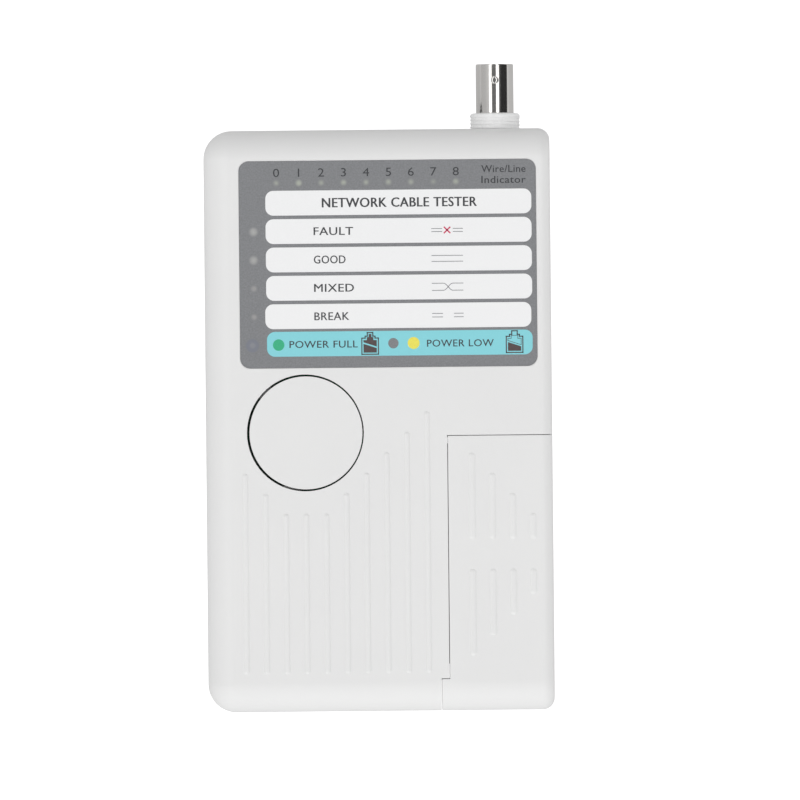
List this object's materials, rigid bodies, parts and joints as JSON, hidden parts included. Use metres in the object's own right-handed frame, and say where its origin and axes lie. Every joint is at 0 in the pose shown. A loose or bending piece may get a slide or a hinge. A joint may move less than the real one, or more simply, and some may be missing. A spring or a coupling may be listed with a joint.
{
  "type": "network cable tester",
  "caption": "Hand-held cable tester with a lamp panel, a round test button, a coaxial jack and a docked remote unit.",
  "frame": {"origin": "centre of the case's flat back face, which it lies on", "axes": "+X to the right seen from the front, +Y along the case towards the coaxial jack, +Z out of the front face"},
  "size_m": [0.088, 0.1643, 0.0253],
  "materials": {
    "case_white": "fine satin moulded",
    "label_print": "matt printed film",
    "board_green": "satin solder mask",
    "lamp_green": "clear tinted",
    "lamp_red": "clear tinted",
    "tin": "bright tinned",
    "steel": "zinc plated",
    "spring_steel": "drawn wire",
    "switch_black": "moulded",
    "chip_black": "moulded",
    "resistor_tan": "lacquered",
    "capacitor_sleeve": "shrink sleeve",
    "socket_black": "moulded",
    "gold": "gold plated",
    "nickel": "bright nickel plated",
    "insulator_white": "waxy",
    "battery_jacket": "printed jacket",
    "snap_black": "soft moulded",
    "lead_red": "insulation",
    "lead_black": "insulation"
  },
  "bodies": {
    "main_unit": {"front_shell": "case_white", "rear_shell": "case_white", "front_label": "label_print", "main_board": "board_green", "wire_lamps": "lamp_green", "condition_lamps": "lamp_red", "battery_lamp": "lamp_green", "lamp_leads": "tin", "lan_socket": "socket_black", "lan_contacts": "gold", "phone_socket": "socket_black", "phone_contacts": "gold", "data_socket_shell": "nickel", "data_socket_core": "insulator_white", "data_contacts": "gold", "coax_jack_body": "case_white", "coax_barrel": "nickel", "coax_insulator": "insulator_white", "coax_centre_contact": "gold", "switch_base": "switch_black", "switch_spring": "spring_steel", "controller_chip": "chip_black", "chip_legs": "tin", "resistors": "resistor_tan", "capacitors": "capacitor_sleeve", "crystal": "nickel", "battery_block": "battery_jacket", "battery_terminals": "nickel", "battery_snap": "snap_black", "battery_lead_red": "lead_red", "battery_lead_black": "lead_black", "case_screws": "steel", "board_screws": "steel"},
    "test_button": {"button_cap": "case_white"},
    "switch_actuator": {"switch_plunger": "switch_black"},
    "back_door": {"battery_door": "case_white"},
    "remote_unit": {"remote_front_shell": "case_white", "remote_rear_shell": "case_white", "remote_board": "board_green", "remote_lan_socket": "socket_black", "remote_lan_contacts": "gold", "remote_phone_socket": "socket_black", "remote_phone_contacts": "gold", "remote_data_socket_shell": "nickel", "remote_data_socket_core": "insulator_white", "remote_data_contacts": "gold", "remote_resistors": "resistor_tan", "remote_case_screws": "steel", "remote_board_screws": "steel"}
  },
  "joints": [
    {"name": "button_press", "type": "slide", "parent": "main_unit", "child": "test_button", "axis": [0, 0, -1], "range_m": [0, 0.001], "stiffness_N_per_m": 600, "springref_m": -0.001},
    {"name": "plunger_press", "type": "slide", "parent": "main_unit", "child": "switch_actuator", "axis": [0, 0, -1], "range_m": [0, 0.001], "deforming": ["switch_spring"]},
    {"name": "door_slide", "type": "slide", "parent": "main_unit", "child": "back_door", "axis": [0, -1, 0], "range_m": [0, 0.055]},
    {"name": "remote_undock", "type": "slide", "parent": "main_unit", "child": "remote_unit", "axis": [0, -1, 0], "range_m": [0, 0.072]}
  ],
  "couplings": [
    {"joint": "plunger_press", "follows": "button_press", "ratio": 1}
  ]
}
